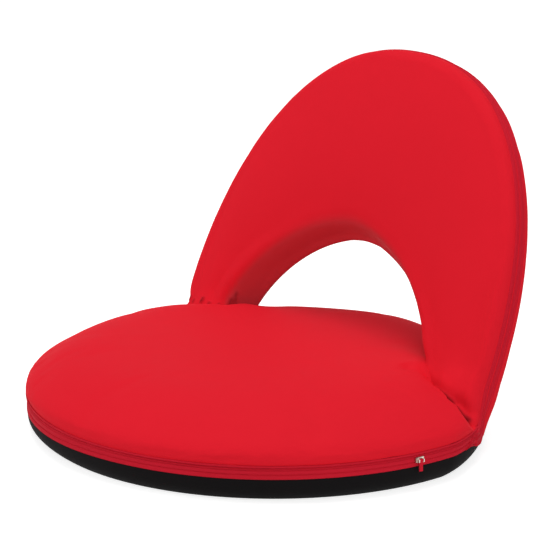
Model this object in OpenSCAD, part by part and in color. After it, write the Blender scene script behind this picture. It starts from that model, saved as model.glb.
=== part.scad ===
// Folding floor chair: round padded seat, arched padded back, steel frame and ratchet hinges inside

/* [Seat] */
// Half width of the seat and radius of its front half
seat_r = 260; // [254:1:266]
// How much less the seat reaches behind its centre than to its front
seat_rear_less = 21; // [12:1:28]
// Rounding of the seat's rear tip
seat_tip = 40; // [30:1:48]
// Height of the dark base under the seat
base_h = 24; // [22:1:26]
// Inset of the base where it meets the floor
base_undercut = 14; // [10:1:18]
// Height of the zipped side wall of the seat
gusset_h = 14; // [13:1:16]
// Rise of the seat cushion above its side wall
seat_crown_h = 43; // [38:1:43]
// Width of the seat's rounded shoulder
seat_shoulder = 98; // [90:1:106]
// Gap between the opening's side and the leg notch in the cushion
notch_gap = 3; // [2:0.5:4]
// Reach of the leg notches in front of the hinge line
notch_reach = 21.1; // [21:0.1:22]

/* [Back] */
// How far the back's widest place lies inside the seat's radius
back_inset = 35; // [31:0.5:39]
// Height along the back of its widest place
back_wide_v = 25; // [24:0.1:25.6]
// Height along the back from there to the top
back_top_h = 310; // [302:1:316]
// Drawing in of each leg below the widest place
leg_draw_in = 11.6; // [8:1:14]
// Thickness of the back
back_t = 43; // [42:1:45]
// Lean of the back from upright, in degrees
back_lean = 23.4; // [21:0.2:24]
// Width of each leg at the hinge line, before it draws in
leg_w = 77.5; // [76:0.5:80]
// Height of the arched opening along the back
opening_h = 130; // [122:1:134]
// Rounding at the outer edge of the back
back_edge_r = 15; // [12:1:17]
// Rounding at the opening's edge
opening_edge_r = 15; // [12:1:17]
// Depth of the side seams behind the front and rear faces
seam_depth = 14; // [13:0.5:14.5]
// Crown of the back padding, as a share of the panel width
crown_share = 0.015; // [0.01:0.005:0.02]

/* [Fabric] */
// Thickness of the cover fabric with its lining
cover_t = 1.2; // [1:0.1:1.4]
// Width of the closed zip chain
zip_w = 4; // [3.4:0.2:4.4]
// How far the zip chain stands proud of the fabric
zip_proud = 0.6; // [0.4:0.1:0.8]
// Place of the zip slider, degrees round from the right side
slider_angle = -9.7; // [-14:0.1:-6]

/* [Frame] */
// Outer diameter of the frame tubes
tube_d = 16; // [15:0.5:16]
// Wall of the frame tubes
tube_wall = 1.5; // [1.2:0.1:2]
// Diameter of the cross bars
bar_d = 12; // [11:0.5:12]
// Inset of the side tubes from the side of the back
tube_inset = 39; // [38:0.2:40]
// Inset of the bent tube from the top of the back
tube_top_inset = 47; // [44:1:52]
// Gap between the base and the seat tubes
frame_gap = 1.5; // [1.4:0.1:1.6]
// Width of the webbing straps
strap_w = 30; // [24:1:34]
// Thickness of the webbing straps
strap_t = 1; // [0.8:0.1:1]

/* [Hinge] */
// Hinge line behind the seat centre
hinge_y = 64.9; // [64:0.1:66]
// Hinge line above the floor
hinge_z = 60; // [59.5:0.1:61]
// Depth of the hinge line behind the front face of the back
hinge_depth = 5; // [4:0.5:6]
// Thickness of the hinge plates
plate_t = 2; // [1.6:0.1:2.4]
// Thickness of the toothed arm and the pawl
arm_t = 4; // [3:0.5:5]
// Radius of the toothed rim
gear_r = 8; // [7.6:0.1:8.4]
// Depth of the teeth
tooth_h = 1.6; // [1.4:0.1:1.7]
// Number of teeth round the rim
tooth_count = 27; // [27]
// Diameter of the pivot rivet
pivot_d = 5; // [4:0.5:5]
// Diameter of the small rivets and pins
pin_d = 3; // [2.6:0.2:3]

/* [Hidden] */

$fn = 48;
left = -1;
right = 1;
overrun = 1;
// Gap between neighbouring pieces, and the running gap of a pin in its hole
fit = 0.3;
pin_fit = 0.05;

// Colours
red_fabric = [0.80, 0.09, 0.14];
dark_fabric = [0.05, 0.05, 0.06];
foam_colour = [0.93, 0.90, 0.78];
steel_colour = [0.62, 0.64, 0.66];
tube_colour = [0.16, 0.16, 0.17];
strap_colour = [0.10, 0.10, 0.11];
zip_colour = [0.75, 0.10, 0.15];

// Steps round the outlines
front_steps = 12;
rear_steps = 6;
oval_rear_steps = 9;
arch_steps = 16;

// Shapes of the outlines
seat_rear_power = 1.5;
back_power = 2.22;
opening_power = 1.73;

// Shares of the shoulder's width and of the cushion's rise, from the side wall to the middle
shoulder_shares = [[0, 0], [0.06, 0.28], [0.14, 0.48], [0.25, 0.65], [0.40, 0.80], [0.60, 0.92], [1, 0.99]];
// Shares of the undercut and of the base height, from the floor to the side wall
undercut_shares = [[1, 0], [0.36, 0.25], [0.07, 0.6], [0, 1]];
// Shares of the edge rounding and of the seam depth, from the seam to the face
edge_shares = [[0, 1], [0.12, 0.5], [0.4, 0.18], [1, 0]];
// Shares of the panel width and of its crown between the rounded edges
crown_shares = [[0.3, 0.8], [0.5, 1], [0.7, 0.8]];

seat_rear = seat_r - seat_rear_less;
frame_z = base_h + frame_gap + tube_d / 2;
back_half_w = seat_r - back_inset;
opening_half_w = back_half_w - leg_w;
notch_x = opening_half_w + notch_gap;
notch_y = hinge_y - notch_reach;
gusset_top = base_h + gusset_h;
seat_top = gusset_top + seat_crown_h;
lining = cover_t + fit;
foam_inset = lining + 4 * fit;

// Layers of the seat, from the floor up
pad_top = base_h - fit;
frame_top = frame_z + tube_d / 2;
loop_gap = 0.2;
bar_loop_r = bar_d / 2 + loop_gap + strap_t;
core_bottom = base_h + fit;
core_top = frame_top - fit / 3;
bar_z = core_top + fit + strap_t - bar_loop_r;
foam_bottom = core_top + fit + strap_t + fit;

// Layers of the back, from its front face to its rear face
back_mid = back_t / 2;
front_foam_d = back_mid - tube_d / 2 - fit;
rear_foam_d = back_mid + tube_d / 2 + fit;
strap_d = back_mid - bar_loop_r;
back_core_front = strap_d + strap_t + fit;
back_core_rear = rear_foam_d - fit;
foam_start_v = 26;

// Frame of the seat
tube_half_w = back_half_w - tube_inset;
tube_end_y = notch_y - low_inset(frame_top) - cover_t - 2 * fit;
rear_tube_inset = 25;
rear_tube_r = notch_x - rear_tube_inset;
rear_tube_y = 50;
front_bar_inset = 76;
front_bar_y = front_bar_inset - tube_half_w;
rear_bar_y = 18;
strap_side_gap = 81;
seat_strap_pitch = (tube_half_w - strap_side_gap) / 1.5;
seat_strap_x = [for (k = [-1.5:1:1.5]) k * seat_strap_pitch];

// Frame of the back
arch_v = back_wide_v + back_top_h - tube_top_inset - tube_half_w;
tube_start_v = 34;
lower_bar_rise = 35;
lower_bar_v = opening_h + lower_bar_rise;
upper_bar_drop = 40;
upper_bar_v = arch_v + tube_half_w - upper_bar_drop;
back_strap_pitch = 70;
back_strap_x = [for (k = [-1:1]) k * back_strap_pitch];

// Hinge layers across the chair, from the middle outwards
inner_plate_x = tube_half_w - tube_d / 2 - fit - plate_t;
outer_plate_x = tube_half_w + tube_d / 2 + fit;
plate_gap_x = inner_plate_x + plate_t;
arm_x = tube_half_w - arm_t / 2;
rivet_head_t = 1.5;
rivet_head_d = 8;
small_head_d = 5;
hardware_w = outer_plate_x + plate_t - inner_plate_x + 2 * rivet_head_t;

// Hinge plate outline behind and below the hinge line
plate_reach = 24;
plate_front_y = notch_y - plate_reach;
plate_low_z = base_h + plate_t;
plate_arm_z = base_h + gusset_h - fit;
plate_gap = 3.2;
plate_wall_y = notch_y + plate_gap;
plate_foot_y = hinge_y + fit;
plate_rivet_pitch = 10;
plate_rivet_y = [plate_front_y + plate_rivet_pitch / 2, plate_front_y + 1.5 * plate_rivet_pitch];
rivet_d = 4;

// Pawl under the toothed rim
tooth_pitch = 360 / tooth_count;
pawl_gap = 0.3;
pawl_y = hinge_y - gear_r;
pawl_top_z = hinge_z - gear_r - tooth_h;
pawl_bar_t = 2;
pawl_z = pawl_top_z;
pawl_hub_r = 2.8;
pawl_tooth_w = 0.6;
spring_y = hinge_y - gear_r / 2;
spring_z = hinge_z - 2.7 * gear_r;
leaf_t = 0.6;

// Toothed arm: crank from the hinge line back to the tube
arm_w = 10;
arm_bend_v = 22;
spigot_len = 24;
spigot_d = tube_d - 2 * tube_wall - 2 * fit;
arm_rivet_v = tube_start_v + 12;

// Zip slider and its pull
zip_z = base_h + gusset_h / 2;
slider_w = 6;
slider_len = 9;
slider_t = 2;
ear_t = 1;
ear_out = 3;
bail_pin_d = 1.4;
pull_len = 11;
pull_w = 4;
pull_t = 1.2;

// Boots. The first ring lies on the ledge, and the others follow the crease at the hinge line.
// Shares of the back's thickness: front y and z and rear y and z from the crease, inner x from the notch.
// The last two are shares of the leg's drawing in: outer x at the front and at the rear.
crease_y = hinge_y - hinge_depth * cos(back_lean);
crease_z = hinge_z + hinge_depth * sin(back_lean);
boot_gap = 1.2;
boot_corner = 6;
boot_shares = [
    [-0.344, -0.279, 0.965, -0.58, 0.038, 0, 1.3],
    [-0.209, 0.052, 1.016, -0.346, 0.025, 0.15, 0.85],
    [-0.064, 0.281, 1.069, -0.166, -0.025, 0.22, 0.5],
    [0.127, 0.416, 1.122, 0.016, -0.1, 0.22, 0.3],
    [0.195, 0.526, 1.147, 0.122, -0.175, 0.2, 0.2]];
boot_foot_share = 0.925;
boot_draw_shares = [-0.35, 1.9];
boot_levels = concat(
    [[notch_y + boot_gap, core_top + boot_gap,
        crease_y + boot_foot_share * back_t, base_h + cover_t + 2 * fit,
        notch_x + boot_gap, back_half_w - boot_draw_shares[0] * leg_draw_in,
        back_half_w - boot_draw_shares[1] * leg_draw_in]],
    [for (q = boot_shares) [crease_y + q[0] * back_t, crease_z + q[1] * back_t, crease_y + q[2] * back_t,
        crease_z + q[3] * back_t, notch_x + q[4] * back_t, back_half_w - q[5] * leg_draw_in,
        back_half_w - q[6] * leg_draw_in]]);

// Outline of the seat. i is the inset from the outside.
function seat_side(i) = sqrt(pow(seat_r - i, 2) - pow(seat_tip, 2));
function rear_y(x, i) =
    let (far = sqrt(x * x + seat_tip * seat_tip) / (seat_r - i))
    (seat_rear - i) * pow(max(0, 1 - pow(far, seat_rear_power)), 1 / seat_rear_power);
function rear_x(y, i) =
    let (wide = (seat_r - i) * pow(1 - pow(y / (seat_rear - i), seat_rear_power), 1 / seat_rear_power))
    sqrt(wide * wide - seat_tip * seat_tip);
function seat_x(y, i) = y > 0 ? rear_x(y, i) : sqrt(max(0, pow(seat_side(i), 2) - y * y));

function notched_half(i) =
    let (wall_y = notch_y - i, wall_x = notch_x - i, front = seat_side(i))
    concat(
        [for (k = [0:front_steps])
            let (y = (front + wall_y) * (1 - cos(90 * k / front_steps)) - front) [seat_x(y, i), y]],
        [[wall_x, wall_y]],
        [for (k = [0:rear_steps]) let (x = wall_x * (1 - k / rear_steps)) [x, rear_y(x, i)]]);
function oval_half(i) =
    concat(
        [for (k = [0:front_steps])
            [seat_side(i) * sin(90 * k / front_steps), -seat_side(i) * cos(90 * k / front_steps)]],
        [for (k = [1:oval_rear_steps])
            let (x = seat_side(i) * cos(90 * k / oval_rear_steps)) [x, rear_y(x, i)]]);
function mirrored(half) = concat(half, [for (k = [len(half) - 2:-1:1]) [-half[k][0], half[k][1]]]);
function raised(outline, z) = [for (p = outline) [p[0], p[1], z]];
function notched_ring(i, z) = raised(mirrored(notched_half(i)), z);
function oval_ring(i, z) = raised(mirrored(oval_half(i)), z);

// Faces between closed rings of n points. Each ring runs the same way round.
function ring_faces(a, b, n) = [for (k = [0:n - 1]) let (next = (k + 1) % n)
    each [[a + k, b + k, b + next], [a + k, b + next, a + next]]];
function fan(pole, a, n, up) = [for (k = [0:n - 1]) let (next = (k + 1) % n)
    up ? [pole, a + next, a + k] : [pole, a + k, a + next]];

// A closed skin over stacked rings, with a pole at each end
module stack(rings, first_pole, last_pole) {
    n = len(rings[0]);
    count = len(rings);
    polyhedron(
        points = concat([for (r = rings) each r], [first_pole, last_pole]),
        faces = concat(
            [for (j = [0:count - 2]) each ring_faces(j * n, (j + 1) * n, n)],
            fan(count * n, 0, n, false),
            fan(count * n + 1, (count - 1) * n, n, true)),
        convexity = 8);
}

// A closed band: the last ring joins the first
module band(rings) {
    n = len(rings[0]);
    count = len(rings);
    polyhedron(
        points = [for (r = rings) each r],
        faces = [for (j = [0:count - 1]) each ring_faces(j * n, ((j + 1) % count) * n, n)],
        convexity = 8);
}

// A skin along sections, each an outer line and an inner line of m points, closed by strips at both ends
module sweep_sections(outer, inner) {
    m = len(outer[0]);
    n = 2 * m;
    count = len(outer);
    last = (count - 1) * n;
    polyhedron(
        points = [for (s = [0:count - 1]) each concat(inner[s], [for (k = [m - 1:-1:0]) outer[s][k]])],
        faces = concat(
            [for (s = [0:count - 2]) each ring_faces(s * n, (s + 1) * n, n)],
            [for (k = [0:m - 2])
                each [[k, k + 1, n - 2 - k], [k, n - 2 - k, n - 1 - k]]],
            [for (k = [0:m - 2])
                each [[last + k, last + n - 2 - k, last + k + 1],
                    [last + k, last + n - 1 - k, last + n - 2 - k]]]),
        convexity = 8);
}

// Outlines of the back in its own plane: x across, v up along the back. k runs up one leg to the top.
function outer_pt(k, i) =
    let (start = asin(pow((foam_start_v - back_wide_v) / (back_top_h - i), back_power / 2)),
        turn = start + (90 - start) * k / arch_steps)
    [(back_half_w - i) * pow(max(0, cos(turn)), 2 / back_power),
        back_wide_v + (back_top_h - i) * pow(sin(turn), 2 / back_power)];
function opening_pt(k, i) =
    let (start = asin(pow(foam_start_v / (opening_h + i), opening_power / 2)),
        turn = start + (90 - start) * k / arch_steps)
    [(opening_half_w + i) * pow(max(0, cos(turn)), 2 / opening_power),
        (opening_h + i) * pow(sin(turn), 2 / opening_power)];
function arch_index(s) = s <= arch_steps ? s : 2 * arch_steps - s;
function arch_side(s) = s <= arch_steps ? right : left;
function panel_w(k) = norm(outer_pt(k, 0) - opening_pt(k, 0));
// A point of station s: p from the outer edge along the panel, d behind the front face
function back_pt(s, p, d) =
    let (k = arch_index(s), o = outer_pt(k, 0), place = o + (opening_pt(k, 0) - o) * p / panel_w(k))
    [arch_side(s) * place[0], d, place[1]];

// One face of the back at station s, moved inwards by t and kept above depth limit
function face_line(s, t, limit) =
    let (w = panel_w(arch_index(s)), rim = len(edge_shares) - 1)
    concat(
        [for (e = edge_shares)
            [e[0] * back_edge_r + t * e[1], min(limit, e[1] * seam_depth + t * (1 - e[1]))]],
        [for (c = crown_shares) [c[0] * w, t - c[1] * crown_share * w]],
        [for (k = [rim:-1:0]) let (e = edge_shares[k])
            [w - e[0] * opening_edge_r - t * e[1], min(limit, e[1] * seam_depth + t * (1 - e[1]))]]);
function placed_line(s, line, rear) = [for (q = line) back_pt(s, q[0], rear ? back_t - q[1] : q[1])];
function flat_line(line, d) = [for (q = line) [q[0], d]];
stations = [0:2 * arch_steps];

module face_skin(near, far, rear) {
    a = [for (s = stations) placed_line(s, near[s], rear)];
    b = [for (s = stations) placed_line(s, far[s], rear)];
    if (rear) sweep_sections(b, a);
    else sweep_sections(a, b);
}
module face_cover(rear) {
    near = [for (s = stations) face_line(s, 0, back_t)];
    far = [for (s = stations) face_line(s, cover_t, back_t)];
    in_back() face_skin(near, far, rear);
}
module face_foam(rear, depth) {
    near = [for (s = stations) face_line(s, foam_inset, depth - fit)];
    far = [for (s = stations) flat_line(near[s], depth)];
    in_back() face_skin(near, far, rear);
}
module edge_band(from_d, to_d, proud, at_opening) {
    outer = [for (s = stations) let (w = panel_w(arch_index(s)), p = at_opening ? w - cover_t : -proud)
        [back_pt(s, p, to_d), back_pt(s, p, from_d)]];
    inner = [for (s = stations) let (w = panel_w(arch_index(s)), p = at_opening ? w + proud : cover_t)
        [back_pt(s, p, to_d), back_pt(s, p, from_d)]];
    in_back() sweep_sections(outer, inner);
}

// The plane of the back: Y is the depth behind its front face and Z runs up along it from the hinge line
module in_back() translate([0, hinge_y, hinge_z]) rotate([-back_lean, 0, 0])
    translate([0, -hinge_depth, 0]) children();
// A plate across X from x, drawn in Y and Z
module across(x, t) translate([x, 0, 0]) rotate([90, 0, 90]) linear_extrude(t) children();
module x_rod(x, len, d) translate([x, 0, 0]) rotate([0, 90, 0]) cylinder(h = len, d = d);
// A piece drawn for the right side, or its mirror image
module on_side(side) mirror([side == left ? 1 : 0, 0, 0]) children();
module on_both_sides() for (side = [left, right]) on_side(side) children();
module at_hinge() translate([0, hinge_y, hinge_z]) children();

module base_cover() color(dark_fabric) {
    outer = [for (e = undercut_shares) oval_ring(e[0] * base_undercut, e[1] * base_h)];
    last = len(undercut_shares) - 1;
    inner = [for (k = [last:-1:0]) let (e = undercut_shares[k])
        oval_ring(e[0] * base_undercut + cover_t, e[1] * base_h + cover_t * (1 - e[1]))];
    stack(concat(outer, inner), [0, 0, 0], [0, 0, cover_t]);
}
module base_pad() color(foam_colour) {
    rings = [for (e = undercut_shares)
        oval_ring(e[0] * base_undercut + lining, e[1] * (pad_top - lining) + lining)];
    stack(rings, [0, 0, lining], [0, 0, pad_top]);
}
module tube_slots_2d() {
    slot = tube_d + 4 * fit;
    difference() {
        circle(r = tube_half_w + slot / 2);
        circle(r = tube_half_w - slot / 2);
        translate([-seat_r, 0]) square([2 * seat_r, seat_r]);
    }
    for (side = [left, right]) {
        translate([side * tube_half_w - slot / 2, 0]) square([slot, notch_y + overrun]);
        translate([side * tube_half_w - hardware_w / 2 - fit, plate_front_y - fit])
            square([hardware_w + 2 * fit, notch_y]);
        translate([side * rear_tube_r - slot / 2, rear_bar_y]) square([slot, rear_tube_y - rear_bar_y]);
    }
    translate([0, rear_tube_y]) difference() {
        circle(r = rear_tube_r + slot / 2);
        circle(r = rear_tube_r - slot / 2);
        translate([-seat_r, -seat_r]) square([2 * seat_r, seat_r]);
    }
    for (y = [front_bar_y, rear_bar_y])
        translate([-tube_half_w, y - bar_loop_r - fit]) square([2 * tube_half_w, 2 * (bar_loop_r + fit)]);
}
module seat_core_foam() color(foam_colour)
    translate([0, 0, core_bottom]) linear_extrude(core_top - core_bottom) difference() {
        polygon(mirrored(notched_half(lining + low_inset(core_top))));
        tube_slots_2d();
    }
// Fabric over the base in the two leg notches
module ledge_cover() color(red_fabric)
    translate([0, 0, base_h + fit]) linear_extrude(cover_t) difference() {
        polygon(mirrored(oval_half(cover_t)));
        translate([-seat_r, -2 * seat_r + notch_y + fit]) square([2 * seat_r, 2 * seat_r]);
        translate([-notch_x - fit, 0]) square([2 * (notch_x + fit), seat_r]);
    }
function cushion_rings(t) = [for (e = shoulder_shares)
    notched_ring(e[0] * seat_shoulder + t * (1 - e[1]),
        gusset_top + fit + e[1] * (seat_crown_h - fit) - t * e[1])];
// Inset of the cushion's lowest strip at height z
function low_inset(z) = shoulder_shares[1][0] * seat_shoulder * (z - gusset_top)
    / (shoulder_shares[1][1] * seat_crown_h);
function reversed(list) = [for (k = [len(list) - 1:-1:0]) list[k]];
module seat_top_foam() color(foam_colour) {
    upper = [for (r = cushion_rings(foam_inset)) if (r[0][2] > foam_bottom + overrun) r];
    rings = concat([notched_ring(foam_inset + low_inset(foam_bottom), foam_bottom)], upper);
    stack(rings, [0, front_bar_y / 4, foam_bottom], [0, front_bar_y / 4, seat_top - foam_inset]);
}
module seat_top_cover() color(red_fabric)
    stack(concat(reversed(cushion_rings(cover_t)), cushion_rings(0)),
        [0, front_bar_y / 4, seat_top - cover_t], [0, front_bar_y / 4, seat_top]);
// A band of the seat's side wall, slit where the hinge plates pass through it
module wall_band(z0, z1, proud) difference() {
    band([notched_ring(-proud, z0), notched_ring(-proud, z1),
        notched_ring(cover_t, z1), notched_ring(cover_t, z0)]);
    on_both_sides() translate([tube_half_w - hardware_w / 2 - fit, tube_end_y, z0 - overrun])
        cube([hardware_w + 2 * fit, plate_wall_y - tube_end_y, z1 - z0 + 2 * overrun]);
}
module seat_gusset() color(red_fabric) {
    wall_band(base_h + fit, zip_z - zip_w / 2 - fit, 0);
    wall_band(zip_z + zip_w / 2 + fit, gusset_top, 0);
}
module seat_zip_chain() color(zip_colour) wall_band(zip_z - zip_w / 2, zip_z + zip_w / 2, zip_proud);

module ring_2d(d, wall) difference() {
    circle(d = d);
    circle(d = d - 2 * wall);
}
module half_hoop(r) rotate_extrude(angle = 180, $fn = 96) translate([r, 0]) ring_2d(tube_d, tube_wall);
module tube(len) linear_extrude(len) ring_2d(tube_d, tube_wall);
module seat_front_tube() color(tube_colour) difference() {
    translate([0, 0, frame_z]) union() {
        rotate([0, 0, 180]) half_hoop(tube_half_w);
        for (side = [left, right])
            translate([side * tube_half_w, 0, 0]) rotate([-90, 0, 0]) tube(tube_end_y);
    }
    on_both_sides() for (y = plate_rivet_y)
        translate([0, y, frame_z]) x_rod(inner_plate_x, hardware_w, rivet_d + 2 * pin_fit);
}
module seat_rear_tube() color(tube_colour) translate([0, 0, frame_z]) union() {
    start_y = rear_bar_y + bar_loop_r + fit;
    translate([0, rear_tube_y, 0]) half_hoop(rear_tube_r);
    for (side = [left, right])
        translate([side * rear_tube_r, start_y, 0]) rotate([-90, 0, 0]) tube(rear_tube_y - start_y);
}
// Half length of a bar that ends against a hoop of radius r, at a distance from the hoop's centre
function bar_half_len(r, off) =
    let (far = abs(off) + bar_d / 2, span = sqrt(r * r - far * far))
    span - (tube_d / 2 + 2 * fit) * r / span;
module bar(half_len) x_rod(-half_len, 2 * half_len, bar_d);
module seat_front_bar() color(tube_colour)
    translate([0, front_bar_y, bar_z]) bar(bar_half_len(tube_half_w, front_bar_y));
module seat_rear_bar() color(tube_colour)
    translate([0, rear_bar_y, bar_z]) bar(tube_half_w - tube_d / 2 - plate_t - rivet_head_t - 2 * fit);
// A strap whose ends loop round two bars, drawn in a plane with the bars at 0 and at span
module strap_2d(span) {
    for (at = [0, span]) translate([at, 0]) difference() {
        circle(r = bar_loop_r);
        circle(r = bar_loop_r - strap_t);
    }
    translate([0, bar_loop_r - strap_t]) square([span, strap_t]);
}
module seat_webbing() color(strap_colour)
    for (x = seat_strap_x) translate([0, front_bar_y, bar_z])
        across(x - strap_w / 2, strap_w) strap_2d(rear_bar_y - front_bar_y);

module hinge_plate_2d() difference() {
    union() {
        polygon([[plate_front_y, plate_low_z], [plate_foot_y, plate_low_z], [hinge_y + gear_r, hinge_z],
            [hinge_y - gear_r, hinge_z], [plate_wall_y, hinge_z - gear_r - 1.5 * plate_t],
            [plate_wall_y, plate_arm_z],
            [plate_front_y, plate_arm_z]]);
        translate([hinge_y, hinge_z]) circle(r = gear_r);
    }
    translate([hinge_y, hinge_z]) circle(d = pivot_d + 2 * pin_fit);
    translate([pawl_y, pawl_z]) circle(d = pin_d + 2 * pin_fit);
    translate([spring_y, spring_z]) circle(d = pin_d + 2 * pin_fit);
    for (y = plate_rivet_y) translate([y, frame_z]) circle(d = rivet_d + 2 * pin_fit);
}
module hinge_plate(side, x) color(steel_colour) on_side(side) across(x, plate_t) hinge_plate_2d();
module left_inner_plate() hinge_plate(left, inner_plate_x);
module left_outer_plate() hinge_plate(left, outer_plate_x);
module right_inner_plate() hinge_plate(right, inner_plate_x);
module right_outer_plate() hinge_plate(right, outer_plate_x);
// A rivet through both plates, with a head on each side
module plate_rivet(d, head_d) {
    x_rod(inner_plate_x - rivet_head_t, hardware_w, d);
    x_rod(inner_plate_x - rivet_head_t, rivet_head_t, head_d);
    x_rod(outer_plate_x + plate_t, rivet_head_t, head_d);
}
module hinge_rivets() color(steel_colour) on_both_sides()
    for (y = plate_rivet_y) translate([0, y, frame_z]) plate_rivet(rivet_d, rivet_head_d);
module pivot_rivets() color(steel_colour) on_both_sides() at_hinge() plate_rivet(pivot_d, rivet_head_d);
module pawl_pins() color(steel_colour) on_both_sides()
    translate([0, pawl_y, pawl_z]) plate_rivet(pin_d, small_head_d);
module spring_pins() color(steel_colour) on_both_sides()
    translate([0, spring_y, spring_z]) plate_rivet(pin_d, small_head_d);
module spacer_bushes() color(steel_colour) on_both_sides() at_hinge() {
    bush_len = arm_x - plate_gap_x - fit;
    for (x = [plate_gap_x + fit / 2, arm_x + arm_t + fit / 2])
        across(x, bush_len) difference() {
            circle(d = rivet_head_d);
            circle(d = pivot_d + 2 * pin_fit);
        }
}

// Pawl: a hub on its pin, a bar under the toothed rim and one tooth that points up at the hinge line
module pawl(side) color(steel_colour) on_side(side) {
    tip_z = hinge_z - gear_r - pawl_gap;
    tip_y = hinge_y;
    difference() {
        union() {
            across(arm_x, arm_t) {
                translate([pawl_y, pawl_z - pawl_bar_t])
                    square([tip_y + pawl_tooth_w - pawl_y, pawl_bar_t]);
                translate([tip_y, 0]) polygon([
                    [-pawl_tooth_w, pawl_top_z - leaf_t], [pawl_tooth_w, pawl_top_z - leaf_t],
                    [pawl_tooth_w / 3, tip_z], [-pawl_tooth_w / 3, tip_z]]);
            }
            translate([0, pawl_y, pawl_z]) x_rod(plate_gap_x + fit / 2, tube_d + fit, 2 * pawl_hub_r);
        }
        translate([0, pawl_y, pawl_z]) x_rod(inner_plate_x, hardware_w, pin_d + 2 * pin_fit);
    }
}
module left_pawl() pawl(left);
module right_pawl() pawl(right);
// Leaf spring: an eye on its pin and a blade that rises to just under the pawl
module pawl_spring(side) color(steel_colour) on_side(side) across(arm_x, arm_t) difference() {
    eye_r = pin_d / 2 + pin_fit + leaf_t;
    reach = pawl_z - pawl_bar_t - fit;
    union() {
        translate([spring_y, spring_z]) circle(r = eye_r);
        polygon([[spring_y, spring_z], [spring_y + eye_r, spring_z], [hinge_y - pawl_tooth_w, reach],
            [hinge_y - pawl_tooth_w - 2 * leaf_t, reach]]);
    }
    translate([spring_y, spring_z]) circle(d = pin_d + 2 * pin_fit);
}
module left_pawl_spring() pawl_spring(left);
module right_pawl_spring() pawl_spring(right);

// Fabric boot over one hinge: rings of eight points, with the corners cut
function boot_ring(level, t) =
    let (fy = level[0] + t, fz = level[1], ry = level[2] - t, rz = level[3], x0 = level[4] + t,
        xf = level[5] - t, xr = level[6] - t, cut = boot_corner, near = cut / (ry - fy))
    [for (q = [[x0 + cut, 0], [xf - cut, 0], [xf, near], [xr, 1 - near], [xr - cut, 1], [x0 + cut, 1],
        [x0, 1 - near], [x0, near]]) [q[0], fy + (ry - fy) * q[1], fz + (rz - fz) * q[1]]];
module boot(side) color(red_fabric) on_side(side) band(concat(
    [for (level = boot_levels) boot_ring(level, 0)],
    [for (level = reversed(boot_levels)) boot_ring(level, cover_t)]));
module left_boot() boot(left);
module right_boot() boot(right);

module back_tube() color(tube_colour) in_back() difference() {
    union() {
        translate([0, back_mid, arch_v]) rotate([90, 0, 0]) half_hoop(tube_half_w);
        for (side = [left, right])
            translate([side * tube_half_w, back_mid, tube_start_v]) tube(arch_v - tube_start_v);
    }
    on_both_sides() translate([0, back_mid, arm_rivet_v])
        x_rod(inner_plate_x, hardware_w, rivet_d + 2 * pin_fit);
}
module back_lower_bar() color(tube_colour) in_back()
    translate([0, back_mid, lower_bar_v]) bar(bar_half_len(tube_half_w, lower_bar_v - arch_v));
module back_upper_bar() color(tube_colour) in_back()
    translate([0, back_mid, upper_bar_v]) bar(bar_half_len(tube_half_w, upper_bar_v - arch_v));
module back_webbing() color(strap_colour) in_back()
    for (x = back_strap_x) translate([0, back_mid, lower_bar_v])
        across(x - strap_w / 2, strap_w) rotate(90) strap_2d(upper_bar_v - lower_bar_v);
module back_front_foam() color(foam_colour) face_foam(false, front_foam_d);
module back_rear_foam() color(foam_colour) face_foam(true, back_t - rear_foam_d);
function arch_outline(i) = concat(
    [for (s = stations) let (q = outer_pt(arch_index(s), i)) [arch_side(s) * q[0], q[1]]],
    [for (k = [2 * arch_steps:-1:0]) let (q = opening_pt(arch_index(k), i)) [arch_side(k) * q[0], q[1]]]);
module back_slots_2d() {
    slot = tube_d + 4 * fit;
    translate([0, arch_v]) difference() {
        circle(r = tube_half_w + slot / 2);
        circle(r = tube_half_w - slot / 2);
        translate([-seat_r, -seat_r]) square([2 * seat_r, seat_r]);
    }
    for (side = [left, right]) {
        translate([side * tube_half_w - slot / 2, 0]) square([slot, arch_v]);
        translate([side * tube_half_w - rivet_head_d - 2 * fit - slot / 2,
            arm_rivet_v - rivet_head_d / 2 - fit])
            square([slot + 2 * rivet_head_d, rivet_head_d + 2 * fit]);
    }
    for (v = [lower_bar_v, upper_bar_v]) {
        half_len = sqrt(pow(tube_half_w, 2) - pow(v - arch_v, 2));
        translate([-half_len, v - bar_loop_r - fit]) square([2 * half_len, 2 * (bar_loop_r + fit)]);
    }
}
module back_core_foam() color(foam_colour) in_back()
    translate([0, back_core_rear, 0]) rotate([90, 0, 0]) linear_extrude(back_core_rear - back_core_front)
        difference() {
            polygon(arch_outline(lining));
            back_slots_2d();
        }
module back_front_cover() color(red_fabric) face_cover(false);
module back_rear_cover() color(red_fabric) face_cover(true);
module back_gusset() color(red_fabric) {
    edge_band(seam_depth + fit, back_mid - zip_w / 2 - fit, 0, false);
    edge_band(back_mid + zip_w / 2 + fit, back_t - seam_depth - fit, 0, false);
}
module back_zip_chain() color(zip_colour)
    edge_band(back_mid - zip_w / 2, back_mid + zip_w / 2, zip_proud, false);
module back_opening_gusset() color(red_fabric)
    edge_band(seam_depth + fit, back_t - seam_depth - fit, 0, true);

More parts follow.
